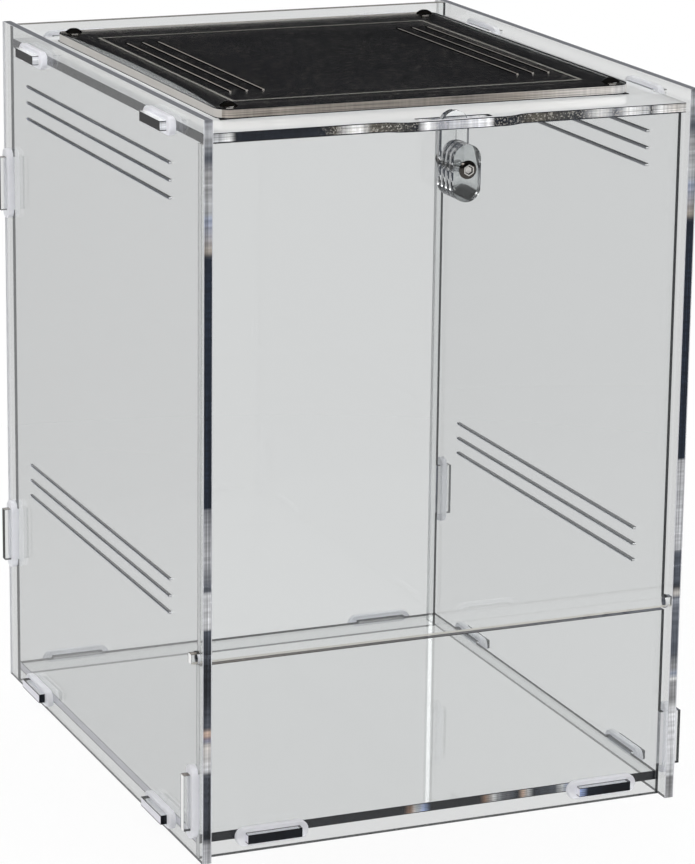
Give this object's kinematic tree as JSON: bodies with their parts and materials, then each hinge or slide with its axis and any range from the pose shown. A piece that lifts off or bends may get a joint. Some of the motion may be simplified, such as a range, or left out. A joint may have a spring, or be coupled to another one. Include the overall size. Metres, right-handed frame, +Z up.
{
  "type": "reptile terrarium",
  "caption": "Clear-sheet reptile terrarium with a tip-down front door, a turn latch, a meshed roof vent and tab-and-band joints.",
  "frame": {"origin": "on the table, under the middle of the overall footprint", "axes": "+Z up, +Y to the back, +X to the right as seen from the front, where the door is"},
  "size_m": [0.284, 0.335, 0.3856],
  "materials": {
    "clear_acrylic": "clear cast acrylic sheet, laser-cut flame-bright edges",
    "silicone": "translucent milky silicone, satin",
    "black_mesh": "fine woven wire mesh, black",
    "polished_steel": "polished stainless steel"
  },
  "bodies": {
    "frame": {"left_side_panel": "clear_acrylic", "right_side_panel": "clear_acrylic", "back_panel": "clear_acrylic", "floor_panel": "clear_acrylic", "front_sill": "clear_acrylic", "roof_panel": "clear_acrylic", "vent_cover": "clear_acrylic", "cover_screws": "polished_steel", "vent_mesh": "black_mesh", "band_left_roof_front": "silicone", "band_left_roof_rear": "silicone", "band_left_floor_front": "silicone", "band_left_floor_rear": "silicone", "band_left_back_lower": "silicone", "band_left_back_upper": "silicone", "band_left_sill": "silicone", "band_right_roof_front": "silicone", "band_right_roof_rear": "silicone", "band_right_floor_front": "silicone", "band_right_floor_rear": "silicone", "band_right_back_lower": "silicone", "band_right_back_upper": "silicone", "band_right_sill": "silicone", "band_back_roof_left": "silicone", "band_back_roof_right": "silicone", "band_back_floor_left": "silicone", "band_back_floor_right": "silicone", "band_front_floor_left": "silicone", "band_front_floor_right": "silicone"},
    "door": {"door_panel": "clear_acrylic", "latch_bolt": "polished_steel", "latch_cap_nut": "polished_steel"},
    "latch": {"latch_plate": "clear_acrylic", "knob_layer_inner": "clear_acrylic", "knob_layer_middle": "clear_acrylic", "knob_layer_outer": "clear_acrylic"}
  },
  "joints": [
    {"name": "door_tip", "type": "hinge", "parent": "frame", "child": "door", "pos_m": [0, -0.1419, 0.10799], "axis": [1, 0, 0], "range_deg": [0, 108]},
    {"name": "latch_turn", "type": "hinge", "parent": "door", "child": "latch", "pos_m": [0, -0.1444, 0.3543], "axis": [0, 1, 0], "continuous": true}
  ]
}
